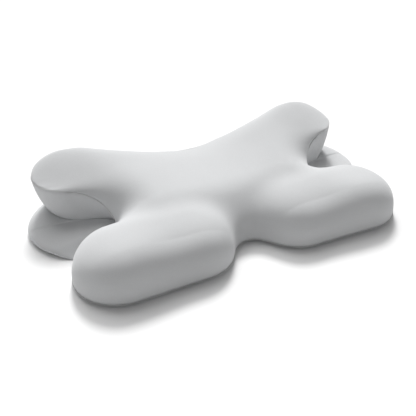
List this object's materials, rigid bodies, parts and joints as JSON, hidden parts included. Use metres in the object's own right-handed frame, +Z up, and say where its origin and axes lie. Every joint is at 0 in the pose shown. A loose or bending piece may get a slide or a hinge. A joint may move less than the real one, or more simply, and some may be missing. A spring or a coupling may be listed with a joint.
{
  "type": "cervical support pillow",
  "caption": "Butterfly-shaped contour neck pillow: foam core in a liner and zipped cover, dished middle, high two-tier side with arm slots.",
  "frame": {"origin": "middle of the base, on the floor, on the pillow's left-right mirror plane", "axes": "+X along the long axis to the right, +Y towards the high two-tier side, +Z up"},
  "size_m": [0.6238, 0.3292, 0.1133],
  "materials": {
    "foam": "open-cell slow-rebound foam, matt",
    "liner_fabric": "thin white jersey, matt",
    "cover_fabric": "smooth fine-knit light grey, soft sheen at grazing angles",
    "spacer_fabric": "knitted spacer mesh, matt",
    "seam_thread": "overlocked seam, matt thread",
    "zip_tape": "woven herringbone tape, matt",
    "zip_coil": "nylon monofilament, satin",
    "zip_metal": "grey lacquered zinc, satin"
  },
  "bodies": {
    "cushion": {"foam_core": "foam", "liner_top_half": "liner_fabric", "liner_bottom_half": "liner_fabric", "cover_top_panel": "cover_fabric", "cover_side_panel": "cover_fabric", "cover_base_panel": "spacer_fabric", "edge_seam": "seam_thread", "base_seam": "seam_thread", "zip_tape_front": "zip_tape", "zip_tape_rear": "zip_tape", "zip_coil_front": "zip_coil", "zip_coil_rear": "zip_coil", "zip_top_stop": "zip_metal", "zip_bottom_stop": "zip_metal"},
    "zip_slider": {"zip_slider": "zip_metal"},
    "zip_pull": {"zip_pull": "zip_metal"}
  },
  "joints": [
    {"name": "zip_slide", "type": "slide", "parent": "cushion", "child": "zip_slider", "axis": [1, 0, 0], "range_m": [-0.386, 0]},
    {"name": "pull_swing", "type": "hinge", "parent": "zip_slider", "child": "zip_pull", "pos_m": [0.193, 0.02, 0.0014], "axis": [0, -1, 0], "range_deg": [0, 170]}
  ]
}
